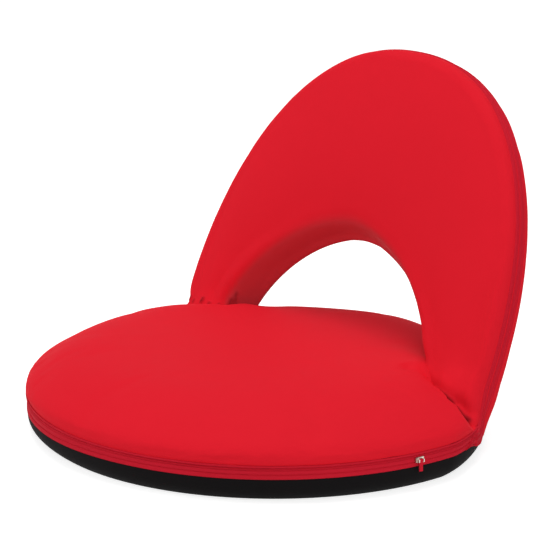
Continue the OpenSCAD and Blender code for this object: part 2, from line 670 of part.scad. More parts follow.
// The toothed rim, turned so that a gap faces straight down at rest
module gear_2d() polygon([for (k = [0:tooth_count - 1]) let (a = k * tooth_pitch - 90)
    each [for (e = [[0.2, -tooth_h], [0.38, 0], [0.62, 0], [0.8, -tooth_h]])
        let (r = gear_r + e[1], t = a + e[0] * tooth_pitch) [r * cos(t), r * sin(t)]]]);
module ratchet_arm(side) color(steel_colour) on_side(side) in_back() difference() {
    union() {
        across(arm_x, arm_t) {
            translate([hinge_depth, 0]) rotate(back_lean) gear_2d();
            polygon([[hinge_depth, -arm_w / 3], [back_mid + arm_w / 2, arm_bend_v - arm_w / 2],
                [back_mid + arm_w / 2, tube_start_v], [back_mid - arm_w / 2, tube_start_v],
                [back_mid - arm_w / 2, arm_bend_v], [hinge_depth - arm_w / 3, arm_w / 3]]);
        }
        translate([tube_half_w, back_mid, tube_start_v - fit]) cylinder(h = spigot_len, d = spigot_d);
    }
    translate([0, hinge_depth, 0]) x_rod(inner_plate_x, hardware_w, pivot_d + 2 * pin_fit);
    translate([0, back_mid, arm_rivet_v]) x_rod(inner_plate_x, hardware_w, rivet_d + 2 * pin_fit);
}
module left_ratchet_arm() ratchet_arm(left);
module right_ratchet_arm() ratchet_arm(right);
module arm_rivets() color(steel_colour) in_back() on_both_sides()
    translate([tube_half_w - tube_d / 2, back_mid, arm_rivet_v]) {
        x_rod(-rivet_head_t, tube_d + 2 * rivet_head_t, rivet_d);
        x_rod(-rivet_head_t, rivet_head_t, rivet_head_d);
        x_rod(tube_d, rivet_head_t, rivet_head_d);
    }

// A place on the zip at the slider, X pointing out of the wall
module at_slider() rotate([0, 0, slider_angle])
    translate([seat_side(0) + zip_proud + fit, 0, zip_z]) children();
module zip_slider() color(steel_colour) at_slider() {
    rotate([90, 0, 90]) linear_extrude(slider_t) polygon([[-slider_len / 2, -slider_w / 3],
        [-slider_len / 2, slider_w / 3], [0, slider_w / 2], [slider_len / 2, slider_w / 2],
        [slider_len / 2, -slider_w / 2], [0, -slider_w / 2]]);
    for (y = [-pull_w / 2 - fit - ear_t, pull_w / 2 + fit])
        translate([slider_t, y, -ear_out / 2]) cube([ear_out, ear_t, ear_out]);
    translate([slider_t + ear_out / 2, 0, 0]) rotate([90, 0, 0])
        cylinder(h = pull_w + 2 * fit + ear_t, d = bail_pin_d, center = true);
}
module zip_pull() color(red_fabric) at_slider() translate([slider_t + ear_out / 2, 0, 0]) difference() {
    union() {
        rotate([90, 0, 0]) cylinder(h = pull_w, d = bail_pin_d + 2 * pin_fit + pull_t, center = true);
        translate([-pull_t / 2, -pull_w / 2, -pull_len]) cube([pull_t, pull_w, pull_len]);
    }
    rotate([90, 0, 0]) cylinder(h = pull_w + overrun, d = bail_pin_d + 2 * pin_fit, center = true);
}

base_cover();
base_pad();
ledge_cover();
seat_core_foam();
seat_top_foam();
seat_top_cover();
seat_gusset();
seat_zip_chain();
seat_front_tube();
seat_rear_tube();
seat_front_bar();
seat_rear_bar();
seat_webbing();
left_inner_plate();
left_outer_plate();
right_inner_plate();
right_outer_plate();
hinge_rivets();
pivot_rivets();
spacer_bushes();
pawl_pins();
spring_pins();
left_pawl_spring();
right_pawl_spring();
left_boot();
right_boot();
left_pawl();
right_pawl();
back_tube();
back_lower_bar();
back_upper_bar();
back_webbing();
back_front_foam();
back_core_foam();
back_rear_foam();
back_front_cover();
back_rear_cover();
back_gusset();
back_opening_gusset();
back_zip_chain();
left_ratchet_arm();
right_ratchet_arm();
arm_rivets();
zip_slider();
zip_pull();
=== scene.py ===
import math

import bpy
import numpy as np
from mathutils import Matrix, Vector


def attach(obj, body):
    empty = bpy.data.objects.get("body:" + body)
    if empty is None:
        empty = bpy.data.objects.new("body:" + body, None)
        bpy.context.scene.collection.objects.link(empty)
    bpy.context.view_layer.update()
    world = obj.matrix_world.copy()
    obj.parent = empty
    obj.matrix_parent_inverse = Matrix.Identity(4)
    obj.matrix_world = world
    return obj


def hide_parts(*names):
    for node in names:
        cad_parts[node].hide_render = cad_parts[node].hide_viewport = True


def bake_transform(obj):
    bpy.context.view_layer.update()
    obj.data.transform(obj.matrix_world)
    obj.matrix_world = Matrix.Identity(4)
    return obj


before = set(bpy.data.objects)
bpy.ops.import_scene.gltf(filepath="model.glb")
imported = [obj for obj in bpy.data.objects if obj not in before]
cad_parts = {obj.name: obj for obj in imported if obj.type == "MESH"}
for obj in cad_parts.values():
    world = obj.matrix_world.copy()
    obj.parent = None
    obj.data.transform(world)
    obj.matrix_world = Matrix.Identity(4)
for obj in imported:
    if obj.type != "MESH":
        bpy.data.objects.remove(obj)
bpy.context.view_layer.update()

scene = bpy.context.scene
mm = 0.001


# shared helpers

def smoothStep(t):
    t = np.clip(t, 0.0, 1.0)
    return t * t * (3 - 2 * t)


def meshObject(name, points, faces, material):
    mesh = bpy.data.meshes.new(name)
    mesh.from_pydata([tuple(p) for p in np.asarray(points) * mm], [], faces)
    mesh.validate()
    mesh.polygons.foreach_set("use_smooth", [True] * len(mesh.polygons))
    obj = bpy.data.objects.new(name, mesh)
    scene.collection.objects.link(obj)
    mesh.materials.append(material)
    return obj


def gridFaces(rows, cols, closedCols=False, flip=False):
    faces = []
    for r in range(rows - 1):
        for c in range(cols if closedCols else cols - 1):
            here, beside = r * cols + c, r * cols + (c + 1) % cols
            quad = [here, beside, beside + cols, here + cols]
            faces.append(quad[::-1] if flip else quad)
    return faces


def coordsOf(obj):
    out = np.empty(len(obj.data.vertices) * 3)
    obj.data.vertices.foreach_get("co", out)
    return out.reshape(-1, 3) / mm


def setCoords(obj, points):
    obj.data.vertices.foreach_set("co", (np.asarray(points) * mm).ravel())
    obj.data.update()


def normalsOf(obj):
    out = np.empty(len(obj.data.vertices) * 3)
    obj.data.vertices.foreach_get("normal", out)
    return out.reshape(-1, 3)


def subdivided(obj):
    mod = obj.modifiers.new("smooth", "SUBSURF")
    mod.levels = 1
    graph = bpy.context.evaluated_depsgraph_get()
    mesh = bpy.data.meshes.new_from_object(obj.evaluated_get(graph))
    obj.modifiers.clear()
    old = obj.data
    obj.data = mesh
    bpy.data.meshes.remove(old)
    mesh.polygons.foreach_set("use_smooth", [True] * len(mesh.polygons))


def averaged(obj, field, rounds):
    # each value moves towards the mean of its neighbours
    count = len(obj.data.vertices)
    edges = np.empty(len(obj.data.edges) * 2, dtype=np.int64)
    obj.data.edges.foreach_get("vertices", edges)
    edges = edges.reshape(-1, 2)
    degree = np.bincount(edges.ravel(), minlength=count).astype(float)[:, None]
    for _ in range(rounds):
        total = np.zeros_like(field)
        np.add.at(total, edges[:, 0], field[edges[:, 1]])
        np.add.at(total, edges[:, 1], field[edges[:, 0]])
        field = 0.5 * field + 0.5 * total / np.maximum(degree, 1)
    return field


# most of the broad swelling and of the fine wrinkles is taken out again, and a share of each is kept
pulledCloth = dict(quality=5, mass=0.2, stiffness=12.0, bending=2.0, pressure=3.0, shrink=-0.006, frames=20,
                   cap=14.0, broad=60, keepBroad=0.1)


def settle(obj, pinned, cloth):
    # cloth under pressure
    rest = coordsOf(obj)
    group = obj.vertex_groups.new(name="pinned")
    group.add([int(i) for i in np.nonzero(pinned)[0]], 1.0, "REPLACE")
    mod = obj.modifiers.new("cloth", "CLOTH")
    s = mod.settings
    s.quality = cloth["quality"]
    s.mass = cloth["mass"]
    s.tension_stiffness = s.compression_stiffness = cloth["stiffness"]
    s.shear_stiffness = cloth["stiffness"] / 2
    s.bending_stiffness = cloth["bending"]
    s.use_pressure = True
    s.uniform_pressure_force = cloth["pressure"]
    s.shrink_min = cloth["shrink"]
    s.vertex_group_mass = "pinned"
    s.effector_weights.gravity = 0
    mod.collision_settings.use_collision = False
    for frameNumber in range(1, cloth["frames"] + 1):
        scene.frame_set(frameNumber)
    graph = bpy.context.evaluated_depsgraph_get()
    out = np.empty(len(rest) * 3)
    obj.evaluated_get(graph).data.vertices.foreach_get("co", out)
    obj.modifiers.clear()
    scene.frame_set(1)
    move = out.reshape(-1, 3) / mm - rest
    far = np.linalg.norm(move, axis=1)
    print("cloth", obj.name, "moved by up to", round(float(far.max()), 1), "mm")
    move *= np.minimum(1, cloth["cap"] / np.maximum(far, 1e-6))[:, None]
    broad = averaged(obj, move.copy(), cloth["broad"])
    fine = move - broad
    setCoords(obj, rest + cloth["keepBroad"] * broad + cloth["keepFine"] * fine * (~pinned)[:, None])
    obj.vertex_groups.clear()


def linePull(points, path, width, taper):
    # 1 on a path through space and 0 a width away, thinning out at both ends
    path = np.asarray(path, float)
    lengths = np.r_[0, np.cumsum(np.linalg.norm(np.diff(path, axis=0), axis=1))]
    best = np.full(len(points), np.inf)
    place = np.zeros(len(points))
    for k in range(len(path) - 1):
        a, b = path[k], path[k + 1]
        t = np.clip((points - a) @ (b - a) / ((b - a) @ (b - a)), 0, 1)
        far = np.linalg.norm(points - (a + t[:, None] * (b - a)), axis=1)
        nearer = far < best
        best[nearer] = far[nearer]
        place[nearer] = (lengths[k] + t * (lengths[k + 1] - lengths[k]))[nearer] / lengths[-1]
    ends = smoothStep(place / taper) * smoothStep((1 - place) / taper)
    return np.exp(-(best / width) ** 2) * ends


# painted shade in the creases: a crease of the full depth is darkened with this strength, to this share of
# the cloth's own darker tone
paintedCreaseLook = dict(fullDepth=3.0, strength=0.85, shade=0.12)


def fold(obj, path, depth, width, taper=0.25, dark=False):
    # a crease (negative depth) or ridge along a path; a dark one lies on the surface itself and gets painted
    # shade, darker the deeper it is
    points = coordsOf(obj)
    if dark:
        path = [points[np.argmin(np.linalg.norm(points - np.array(at, float), axis=1))] for at in path]
    share = linePull(points, path, width, taper)
    setCoords(obj, points + normalsOf(obj) * (depth * share)[:, None])
    if dark:
        painted(obj, "paintedCreaseShade", share * min(1.0, -depth / paintedCreaseLook["fullDepth"]))


def painted(obj, name, amount):
    # a value on each point, which the fabric's colour follows; here each one is painted shade
    layer = obj.data.attributes.get(name) or obj.data.attributes.new(name, "FLOAT", "POINT")
    values = np.zeros(len(obj.data.vertices), np.float32)
    layer.data.foreach_get("value", values)
    layer.data.foreach_set("value", np.maximum(values, amount).astype(np.float32))


# materials

def newMaterial(name, colour, roughness, metallic=0.0):
    material = bpy.data.materials.new(name)
    material.use_nodes = True
    shader = material.node_tree.nodes["Principled BSDF"]
    shader.inputs["Base Color"].default_value = (*colour, 1)
    shader.inputs["Roughness"].default_value = roughness
    shader.inputs["Metallic"].default_value = metallic
    return material, shader


def groupSockets(group, inputs, outputs):
    for name, kind, value in inputs:
        socket = group.interface.new_socket(name=name, in_out="INPUT", socket_type=kind)
        socket.default_value = value
    for name, kind in outputs:
        group.interface.new_socket(name=name, in_out="OUTPUT", socket_type=kind)


def mathNode(nodes, links, operation, a, b=None, c=None, clamp=False):
    node = nodes.new("ShaderNodeMath")
    node.operation = operation
    node.use_clamp = clamp
    for k, value in enumerate((a, b, c)):
        if value is None:
            continue
        if isinstance(value, (int, float)):
            node.inputs[k].default_value = value
        else:
            links.new(value, node.inputs[k])
    return node.outputs[0]


fibre = dict(noiseScale=900.0, noiseDetail=3.0, shadeSwing=0.06, patchDetail=4.0, patchRoughness=0.55)


def weaveGroup():
    # plain weave: warp over weft, in object space, with yarns of uneven thickness
    group = bpy.data.node_groups.new("plainWeave", "ShaderNodeTree")
    groupSockets(group,
                 [("Yarn Width", "NodeSocketFloat", 0.0005), ("Slub", "NodeSocketFloat", 0.3),
                  ("Patch Size", "NodeSocketFloat", 0.06)],
                 [("Height", "NodeSocketFloat"), ("Shade", "NodeSocketFloat"), ("Patch", "NodeSocketFloat")])
    nodes, links = group.nodes, group.links
    inputs = nodes.new("NodeGroupInput")
    outputs = nodes.new("NodeGroupOutput")
    coord = nodes.new("ShaderNodeTexCoord")
    split = nodes.new("ShaderNodeSeparateXYZ")
    links.new(coord.outputs["Object"], split.inputs[0])
    # one yarn follows x and the other y + z, which suits level cloth and cloth that faces front or rear
    across = split.outputs["X"]
    along = mathNode(nodes, links, "ADD", split.outputs["Y"], split.outputs["Z"])
    waves = []
    for axis in (across, along):
        turns = mathNode(nodes, links, "DIVIDE", axis, inputs.outputs["Yarn Width"])
        waves.append(mathNode(nodes, links, "SINE", mathNode(nodes, links, "MULTIPLY", turns, math.pi)))
    product = mathNode(nodes, links, "MULTIPLY", waves[0], waves[1])
    yarn = nodes.new("ShaderNodeTexNoise")
    yarn.inputs["Scale"].default_value = fibre["noiseScale"]
    yarn.inputs["Detail"].default_value = fibre["noiseDetail"]
    links.new(coord.outputs["Object"], yarn.inputs["Vector"])
    uneven = mathNode(nodes, links, "MULTIPLY_ADD", yarn.outputs["Fac"], inputs.outputs["Slub"], product)
    links.new(mathNode(nodes, links, "MULTIPLY_ADD", uneven, 0.5, 0.5), outputs.inputs["Height"])
    shade = mathNode(nodes, links, "MULTIPLY_ADD", product, fibre["shadeSwing"], 1 - fibre["shadeSwing"])
    links.new(shade, outputs.inputs["Shade"])
    patch = nodes.new("ShaderNodeTexNoise")
    patch.inputs["Detail"].default_value = fibre["patchDetail"]
    patch.inputs["Roughness"].default_value = fibre["patchRoughness"]
    scale = mathNode(nodes, links, "DIVIDE", 1.0, inputs.outputs["Patch Size"])
    links.new(scale, patch.inputs["Scale"])
    links.new(coord.outputs["Object"], patch.inputs["Vector"])
    links.new(patch.outputs["Fac"], outputs.inputs["Patch"])
    return group


liner = dict(height=0.6, detail=2.0, distortion=0.2)


def puckerGroup():
    # fine puckers of a lined fabric, a few millimetres across
    group = bpy.data.node_groups.new("liningPucker", "ShaderNodeTree")
    groupSockets(group, [("Size", "NodeSocketFloat", 0.02), ("Stretch", "NodeSocketFloat", 3.0)],
                 [("Height", "NodeSocketFloat")])
    nodes, links = group.nodes, group.links
    inputs = nodes.new("NodeGroupInput")
    outputs = nodes.new("NodeGroupOutput")
    coord = nodes.new("ShaderNodeTexCoord")
    mapping = nodes.new("ShaderNodeMapping")
    mapping.inputs["Scale"].default_value = (1.0, 1.0, liner["height"])
    links.new(coord.outputs["Object"], mapping.inputs["Vector"])
    cloud = nodes.new("ShaderNodeTexNoise")
    cloud.inputs["Detail"].default_value = liner["detail"]
    links.new(mathNode(nodes, links, "DIVIDE", 1.0, inputs.outputs["Size"]), cloud.inputs["Scale"])
    twist = mathNode(nodes, links, "MULTIPLY", inputs.outputs["Stretch"], liner["distortion"])
    links.new(twist, cloud.inputs["Distortion"])
    links.new(mapping.outputs["Vector"], cloud.inputs["Vector"])
    links.new(cloud.outputs["Fac"], outputs.inputs["Height"])
    return group


handling = dict(across=0.08, detail=5.0, edgeFrom=0.53, scratchShare=0.35, roughSwing=0.3, roughDrop=0.05,
                bumpStrength=0.2, bumpDepth=0.0001)


def wearGroup():
    # rubbed edges and faint scratches of handled metal
    group = bpy.data.node_groups.new("handledMetal", "ShaderNodeTree")
    groupSockets(group, [("Scratch Scale", "NodeSocketFloat", 400.0), ("Edge", "NodeSocketFloat", 0.5)],
                 [("Mask", "NodeSocketFloat"), ("Height", "NodeSocketFloat")])
    nodes, links = group.nodes, group.links
    inputs = nodes.new("NodeGroupInput")
    outputs = nodes.new("NodeGroupOutput")
    coord = nodes.new("ShaderNodeTexCoord")
    geometry = nodes.new("ShaderNodeNewGeometry")
    mapping = nodes.new("ShaderNodeMapping")
    mapping.inputs["Scale"].default_value = (handling["across"], 1.0, 1.0)
    links.new(coord.outputs["Object"], mapping.inputs["Vector"])
    scratch = nodes.new("ShaderNodeTexNoise")
    scratch.inputs["Detail"].default_value = handling["detail"]
    links.new(inputs.outputs["Scratch Scale"], scratch.inputs["Scale"])
    links.new(mapping.outputs["Vector"], scratch.inputs["Vector"])
    edge = mathNode(nodes, links, "GREATER_THAN", geometry.outputs["Pointiness"], handling["edgeFrom"])
    worn = mathNode(nodes, links, "MULTIPLY", edge, inputs.outputs["Edge"])
    rubbed = mathNode(nodes, links, "MULTIPLY_ADD", scratch.outputs["Fac"], handling["scratchShare"], worn,
                      clamp=True)
    links.new(rubbed, outputs.inputs["Mask"])
    links.new(scratch.outputs["Fac"], outputs.inputs["Height"])
    return group


plainWeave = weaveGroup()
liningPucker = puckerGroup()
handledMetal = wearGroup()


def colourMix(nodes, links, factor, low, high):
    mix = nodes.new("ShaderNodeMix")
    mix.data_type = "RGBA"
    mix.inputs["A"].default_value = (*low, 1)
    mix.inputs["B"].default_value = (*high, 1)
    links.new(factor, mix.inputs["Factor"])
    return mix.outputs["Result"]


def fabricMaterial(name, look):
    material, shader = newMaterial(name, look["colour"], look["roughness"])
    nodes, links = material.node_tree.nodes, material.node_tree.links
    shader.inputs["Sheen Weight"].default_value = look["sheen"]
    shader.inputs["Sheen Roughness"].default_value = look["sheenRoughness"]
    shader.inputs["Sheen Tint"].default_value = (*look["sheenTint"], 1)
    shader.inputs["Specular IOR Level"].default_value = look["specular"]
    weave = nodes.new("ShaderNodeGroup")
    weave.node_tree = plainWeave
    weave.inputs["Yarn Width"].default_value = look["yarn"]
    weave.inputs["Slub"].default_value = look["slub"]
    weave.inputs["Patch Size"].default_value = look["patch"]
    shade = colourMix(nodes, links, weave.outputs["Patch"], look["dark"], look["colour"])
    tinted = nodes.new("ShaderNodeMix")
    tinted.data_type = "RGBA"
    tinted.blend_type = "MULTIPLY"
    tinted.inputs["Factor"].default_value = 1.0
    links.new(shade, tinted.inputs["A"])
    links.new(weave.outputs["Shade"], tinted.inputs["B"])
    last = tinted.outputs["Result"]
    # two painted values, both painted shade: the darker wall of the hand opening, then the creases over it
    marks = {"lining": (1.0, look["lining"]),
             "paintedCreaseShade": (paintedCreaseLook["strength"], [c * paintedCreaseLook["shade"] for c in look["dark"]])}
    for name, (share, colour) in marks.items():
        mark = nodes.new("ShaderNodeAttribute")
        mark.attribute_name = name
        mix = nodes.new("ShaderNodeMix")
        mix.data_type = "RGBA"
        links.new(mathNode(nodes, links, "MULTIPLY", mark.outputs["Fac"], share), mix.inputs["Factor"])
        links.new(last, mix.inputs["A"])
        mix.inputs["B"].default_value = (*colour, 1)
        last = mix.outputs["Result"]
    links.new(last, shader.inputs["Base Color"])
    rough = mathNode(nodes, links, "MULTIPLY_ADD", weave.outputs["Patch"], look["roughSwing"],
                     look["roughness"] - look["roughSwing"] / 2)
    links.new(rough, shader.inputs["Roughness"])
    pucker = nodes.new("ShaderNodeGroup")
    pucker.node_tree = liningPucker
    pucker.inputs["Size"].default_value = look["puckerSize"]
    soft = nodes.new("ShaderNodeBump")
    soft.inputs["Strength"].default_value = look["puckerStrength"]
    soft.inputs["Distance"].default_value = look["puckerDepth"]
    links.new(pucker.outputs["Height"], soft.inputs["Height"])
    bump = nodes.new("ShaderNodeBump")
    bump.inputs["Strength"].default_value = look["weaveStrength"]
    bump.inputs["Distance"].default_value = look["weaveDepth"]
    links.new(weave.outputs["Height"], bump.inputs["Height"])
    links.new(soft.outputs["Normal"], bump.inputs["Normal"])
    links.new(bump.outputs["Normal"], shader.inputs["Normal"])
    return material


# in each look the third colour is painted shade for the wall of the hand opening
redLook = dict(colour=(0.80, 0.0125, 0.027), dark=(0.75, 0.0105, 0.023), lining=(0.57, 0.033, 0.045),
               roughness=0.72, roughSwing=0.12, sheen=0.03, sheenRoughness=0.4, sheenTint=(1.0, 0.1, 0.15),
               specular=0.05, yarn=0.00045, slub=0.35, patch=0.09, puckerSize=0.03, puckerStrength=0.35,
               puckerDepth=0.0012, weaveStrength=0.25, weaveDepth=0.0002)
trimLook = dict(redLook, colour=(0.66, 0.014, 0.034), dark=(0.56, 0.010, 0.024), puckerSize=0.008,
                puckerDepth=0.0006)
blackLook = dict(colour=(0.0075, 0.0062, 0.0066), dark=(0.005, 0.0045, 0.0048), lining=(0.006, 0.006, 0.006),
                 roughness=0.8, roughSwing=0.12, sheen=0.0, sheenRoughness=0.5, sheenTint=(1.0, 1.0, 1.0),
                 specular=0.06, yarn=0.0008, slub=0.5, patch=0.05, puckerSize=0.02, puckerStrength=0.3,
                 puckerDepth=0.0012, weaveStrength=0.5, weaveDepth=0.0002)
strapLook = dict(blackLook, colour=(0.02, 0.02, 0.022), dark=(0.014, 0.014, 0.015), yarn=0.0015,
                 puckerSize=0.01)
redFabric = fabricMaterial("redPolyester", redLook)
redTrim = fabricMaterial("redTape", trimLook)
blackFabric = fabricMaterial("blackUnderside", blackLook)
strapFabric = fabricMaterial("strapWeave", strapLook)


def metalMaterial(name, look):
    material, shader = newMaterial(name, look["colour"], look["roughness"], look["metallic"])
    nodes, links = material.node_tree.nodes, material.node_tree.links
    wear = nodes.new("ShaderNodeGroup")
    wear.node_tree = handledMetal
    wear.inputs["Scratch Scale"].default_value = look["scratch"]
    wear.inputs["Edge"].default_value = look["edge"]
    links.new(colourMix(nodes, links, wear.outputs["Mask"], look["colour"], look["worn"]),
              shader.inputs["Base Color"])
    rough = mathNode(nodes, links, "MULTIPLY_ADD", wear.outputs["Mask"], handling["roughSwing"],
                     look["roughness"] - handling["roughDrop"])
    links.new(rough, shader.inputs["Roughness"])
    bump = nodes.new("ShaderNodeBump")
    bump.inputs["Strength"].default_value = handling["bumpStrength"]
    bump.inputs["Distance"].default_value = handling["bumpDepth"]
    links.new(wear.outputs["Height"], bump.inputs["Height"])
    links.new(bump.outputs["Normal"], shader.inputs["Normal"])
    return material


tubePaint = metalMaterial("blackPowderCoat", dict(colour=(0.020, 0.020, 0.022), worn=(0.06, 0.06, 0.065),
                                                  roughness=0.42, metallic=0.0, scratch=300.0, edge=0.5))
zincPlate = metalMaterial("zincPlate", dict(colour=(0.62, 0.63, 0.65), worn=(0.42, 0.42, 0.43),
                                            roughness=0.32, metallic=1.0, scratch=600.0, edge=0.3))
sliderMetal = metalMaterial("nickelSlider", dict(colour=(0.72, 0.70, 0.66), worn=(0.40, 0.33, 0.25),
                                                 roughness=0.28, metallic=1.0, scratch=900.0, edge=0.5))
print("materials ready")


# outlines shared by the pieces, in millimetres

# how many directions an outline is measured in
outlineSteps = 1441
seatShape = dict(radius=260.0, rearReach=239.0, tip=40.0, rearPower=1.5, reach=257.0, farthest=300.0,
                 halvings=40, baseTop=24.0, seam=38.0, rise=45.0, shoulder=98.0, shoulderPower=2.2,
                 shoulderRoot=0.6, notchX=149.5, legX=168.0, creaseY=59.0, creaseSlope=0.16,
                 rimX=158.0, rimY=74.0, rimSlope=0.28, rimLeast=0.02,
                 leftDrop=3.0, leftDropX=80.0, leftDropFade=240.0)
backShape = dict(hingeY=64.9, hingeZ=60.0, hingeDepth=5.0, lean=math.radians(23.4), halfWidth=225.0,
                 wideV=25.0, height=310.0, power=2.22, startV=26.0, thick=43.0, seamFront=14.0,
                 openHalf=147.5, openHeight=127.5, openPower=1.73, openShift=12.0, openNarrow=0.060,
                 openFade=42.0, outerRound=16.0, roundSteps=7, roundAcross=1.15, roundDepth=1.1,
                 faceSteps=20, crown=0.030, lipPin=8, archStations=60, archTable=600, lowStations=20,
                 lowZ=25.0, hemZ=16.0, hemShare=0.16, hemFade=0.1, lowProud=1.6, lowBelow=30.0,
                 lowSwell=2.0, lowLeast=223.0, lowMost=240.0)


def outlineRadius(angle):
    # distance from the seat's centre to its outline in one direction
    c, s = abs(math.cos(angle)), math.sin(angle)
    if s <= 0:
        return math.sqrt(seatShape["radius"] ** 2 - seatShape["tip"] ** 2)
    low, high = 0.0, seatShape["farthest"]
    for _ in range(seatShape["halvings"]):
        r = (low + high) / 2
        wide = math.hypot(r * c, seatShape["tip"]) / seatShape["radius"]
        deep = r * s / seatShape["rearReach"]
        inside = wide ** seatShape["rearPower"] + deep ** seatShape["rearPower"] < 1
        low, high = (r, high) if inside else (low, r)
    return low


def notchedRadius(angle):
    # the cushion's outline, cut back where the legs stand
    full = outlineRadius(angle)
    c, s = abs(math.cos(angle)), math.sin(angle)
    if s <= seatShape["rimLeast"] or c <= seatShape["rimLeast"]:
        return full
    slope = seatShape["rimSlope"]
    crossY = (seatShape["rimY"] + slope * seatShape["legX"]) / (s + slope * c)
    crossX = seatShape["rimX"] / c
    return min(full, max(crossX, crossY))


def outlinePoints(count, radius):
    # all round, from the front
    angles = [-math.pi / 2 + 2 * math.pi * k / count for k in range(count)]
    return np.array([[radius(a) * math.cos(a), radius(a) * math.sin(a)] for a in angles])


def evenly(points, count, closed=True):
    # the same line with its points at even distances
    pts = np.vstack([points, points[:1]]) if closed else np.asarray(points)
    run = np.r_[0, np.cumsum(np.linalg.norm(np.diff(pts, axis=0), axis=1))]
    at = np.linspace(0, run[-1], count + 1)[:-1] if closed else np.linspace(0, run[-1], count)
    return np.stack([np.interp(at, run, pts[:, k]) for k in range(pts.shape[1])], axis=1)


def shoulderShare(s):
    s = np.clip(s, 0, 1)
    return (1 - (1 - s) ** seatShape["shoulderPower"]) ** seatShape["shoulderRoot"]


def inBack(x, d, v):
    # x across, d behind the front face and v up the back, to the chair's own axes
    ca, sa = math.cos(backShape["lean"]), math.sin(backShape["lean"])
    d = np.asarray(d, float) - backShape["hingeDepth"]
    y = backShape["hingeY"] + np.asarray(v) * sa + d * ca
    z = backShape["hingeZ"] + np.asarray(v) * ca - d * sa
    return np.stack(np.broadcast_arrays(x, y, z), axis=-1)


# seat cushion

# creaseLow and leftLow: how high the cushion stands in front of the right and the left leg, across at creaseX
cushion = dict(cells=104, edgeSteps=400, middleSteps=160, blur=5, rimFrom=0.9999, plainFrom=0.9, plainGap=1.5,
               bulge=3.5, leftBulge=2.4, bulgeHeight=24.0, rollStart=90.0, rollFade=16.0, rollWidth=34.0,
               creaseX=(150, 168, 185, 200, 215, 235), creaseLow=(0.95, 0.82, 0.56, 0.46, 0.43, 0.43),
               leftLow=(0.90, 0.76, 0.54, 0.46, 0.43, 0.43), creaseWidth=9.0, creaseFall=1.3,
               innerLow=0.90, innerWidth=12.0, turnDepth=60.0, tuckZ=27.0,
               filletX=188.0, filletFade=22.0, filletWidth=13.0, filletLift=4.0,
               leftX=-178.0, leftY=58.0, leftReach=45.0, leftLift=3.8, leftInset=40.0)


def cushionHeight(x, y, inset):
    top = seatShape["seam"] + seatShape["rise"] * shoulderShare(inset / seatShape["shoulder"])
    ax = np.abs(x)
    frontGap = seatShape["creaseY"] - seatShape["creaseSlope"] * (ax - seatShape["legX"]) - y
    innerGap = seatShape["notchX"] - ax
    atCorner = np.hypot(np.maximum(frontGap, 0), np.maximum(innerGap, 0))
    gap = np.where((frontGap > 0) & (innerGap > 0), atCorner, np.maximum(frontGap, innerGap))
    gap = np.maximum(gap, 0)
    # lower in front of a leg than beside it
    beside = smoothStep(-frontGap / cushion["turnDepth"])
    inFront = np.where(x > 0, np.interp(ax, cushion["creaseX"], cushion["creaseLow"]),
                       np.interp(ax, cushion["creaseX"], cushion["leftLow"]))
    low = inFront * (1 - beside) + cushion["innerLow"] * beside
    reach = cushion["creaseWidth"] * (1 - beside) + cushion["innerWidth"] * beside
    share = 1 - (1 - low) * np.exp(-(gap / reach) ** cushion["creaseFall"])
    z = cushion["tuckZ"] + (top - cushion["tuckZ"]) * share
    # the cloth runs up into the legs' inner corners
    corner = smoothStep((cushion["filletX"] - ax) / cushion["filletFade"])
    z += cushion["filletLift"] * corner * np.exp(-(gap / cushion["filletWidth"]) ** 2)
    # and stands a little higher in front of the left leg
    aside = (x - cushion["leftX"]) / cushion["leftReach"]
    ahead = (y - cushion["leftY"]) / cushion["leftReach"]
    z += cushion["leftLift"] * np.exp(-aside ** 2 - ahead ** 2) * smoothStep(inset / cushion["leftInset"])
    # behind a leg the cushion rolls down to its seam
    rolled = seatShape["seam"] + (z - seatShape["seam"]) * shoulderShare(innerGap / cushion["rollWidth"])
    behind = smoothStep((y - cushion["rollStart"]) / cushion["rollFade"])
    return z * (1 - behind) + np.minimum(z, rolled) * behind


def buildSeatCover():
    # a square grid drawn out to a disc, then to the cushion's outline
    n = cushion["cells"] + 1
    u, v = np.meshgrid(np.linspace(-1, 1, n), np.linspace(-1, 1, n))
    dx, dy = u * np.sqrt(1 - v * v / 2), v * np.sqrt(1 - u * u / 2)
    rho = np.clip(np.hypot(dx, dy), 0, 1).ravel()
    angle = np.arctan2(dy, dx).ravel()
    table = np.linspace(-math.pi, math.pi, outlineSteps)
    full = np.interp(angle, table, [outlineRadius(a) for a in table])
    cut = np.array([notchedRadius(a) for a in table])
    blur = cushion["blur"]
    cut = np.convolve(np.r_[cut[-blur:-1], cut, cut[1:blur]], np.ones(blur) / blur, "same")[blur - 1:1 - blur]
    cut = np.minimum(np.interp(angle, table, cut), full)
    # even steps along the cushion's profile, from the seam or the notch to the middle
    reach, shoulder = seatShape["reach"], seatShape["shoulder"]
    inset = np.concatenate([np.linspace(0, 1, cushion["edgeSteps"]) ** 2 * shoulder,
                            np.linspace(shoulder + 1, reach, cushion["middleSteps"])])
    height = seatShape["rise"] * shoulderShare(inset / shoulder)
    bulge = np.sin(math.pi * np.clip(height / cushion["bulgeHeight"], 0, 1))
    run = np.r_[0, np.cumsum(np.hypot(np.diff(inset), np.diff(height)))]
    first = np.interp((full - cut) * reach / full, inset, run)
    here = first + (1 - rho) * (run[-1] - first)
    depth = np.interp(here, run, inset) * full / reach
    swell = cushion["bulge"] + cushion["leftBulge"] * np.maximum(0, -np.cos(angle)) ** 2
    r = full - depth + np.interp(here, run, bulge) * swell
    x, y = r * np.cos(angle), r * np.sin(angle)
    z = cushionHeight(x, y, depth)
    rim = rho > cushion["rimFrom"]
    plain = (cut >= full - cushion["plainGap"]) & (rho > cushion["plainFrom"])
    z = np.where(plain, np.maximum(z, seatShape["seam"]), z)
    return meshObject("seatCover", np.stack([x, y, z], 1), gridFaces(n, n), redFabric), rim
